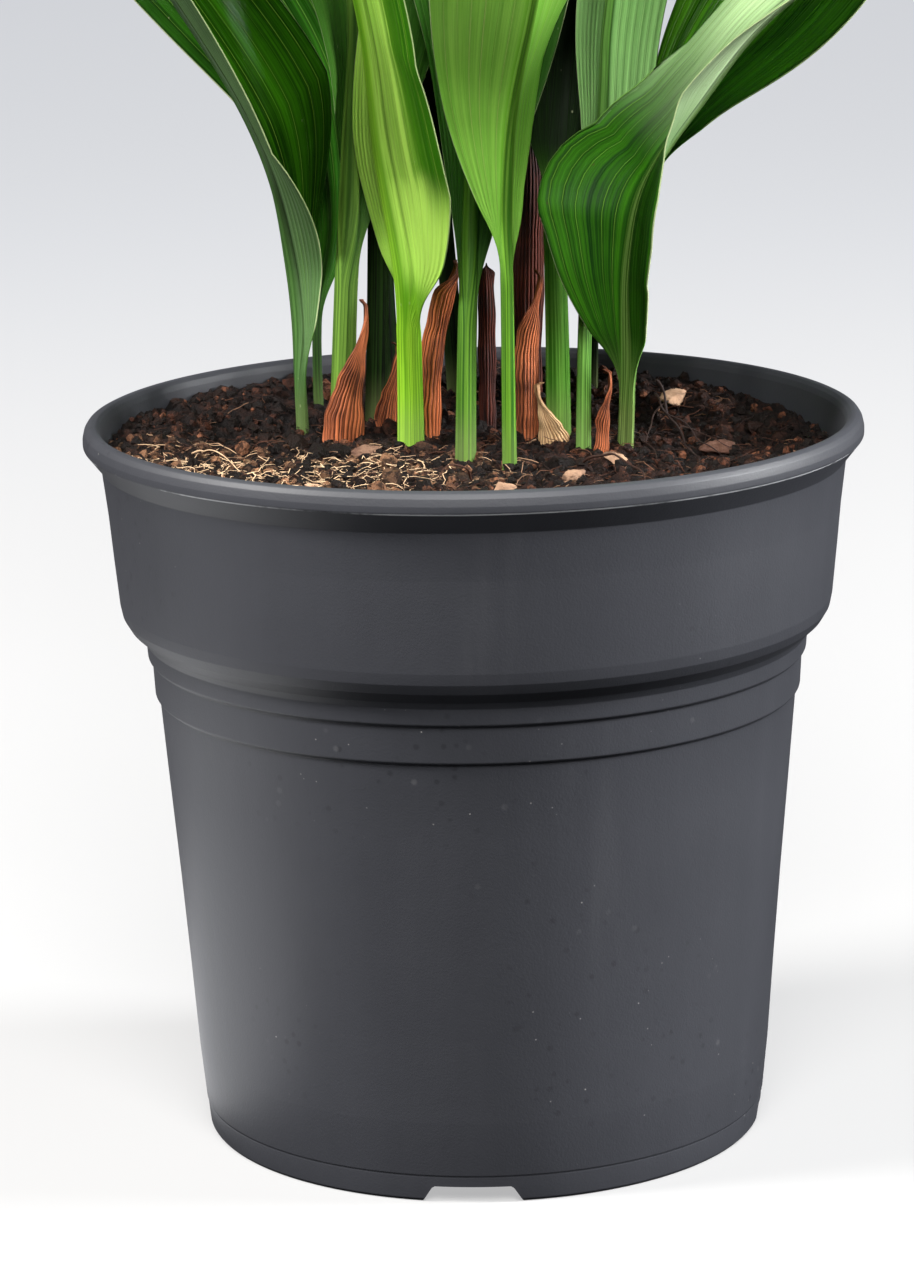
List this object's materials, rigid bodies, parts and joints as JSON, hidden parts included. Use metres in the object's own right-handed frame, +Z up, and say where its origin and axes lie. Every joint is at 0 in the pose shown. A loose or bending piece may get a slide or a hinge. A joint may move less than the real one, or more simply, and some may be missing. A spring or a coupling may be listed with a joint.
{
  "type": "potted cast iron plant",
  "caption": "Broad-leaved houseplant with upright stalks, arching folded leaves and dry brown sheaths, rooted in peat soil in a dark plastic nursery pot",
  "frame": {"origin": "on the resting plane under the middle of the whole plant's bounding box, which is the axis of the pot", "axes": "+Z up along the pot's axis, -Y towards the viewer of the picture, +X to the viewer's right"},
  "size_m": [0.6179, 0.5575, 0.8483],
  "materials": {
    "pot_plastic": "satin",
    "peat_soil": "matte",
    "rootstock": "matte",
    "leaf": "satin",
    "dry_sheath": "matte",
    "bark": "matte"
  },
  "bodies": {
    "root": {"pot": "pot_plastic", "soil": "peat_soil", "rootstock": "rootstock", "leaf_01": "leaf", "leaf_02": "leaf", "leaf_03": "leaf", "leaf_04": "leaf", "leaf_05": "leaf", "leaf_06": "leaf", "leaf_07": "leaf", "leaf_08": "leaf", "leaf_09": "leaf", "leaf_10": "leaf", "leaf_11": "leaf", "leaf_12": "leaf", "leaf_13": "leaf", "leaf_14": "leaf", "leaf_15": "leaf", "sheath_01": "dry_sheath", "sheath_02": "dry_sheath", "sheath_03": "dry_sheath", "sheath_04": "dry_sheath", "sheath_05": "dry_sheath", "sheath_06": "dry_sheath", "sheath_07": "dry_sheath", "sheath_08": "dry_sheath", "bark_chip_01": "bark", "bark_chip_02": "bark", "bark_chip_03": "bark", "bark_chip_04": "bark", "bark_chip_05": "bark", "bark_chip_06": "bark"}
  },
  "joints": []
}
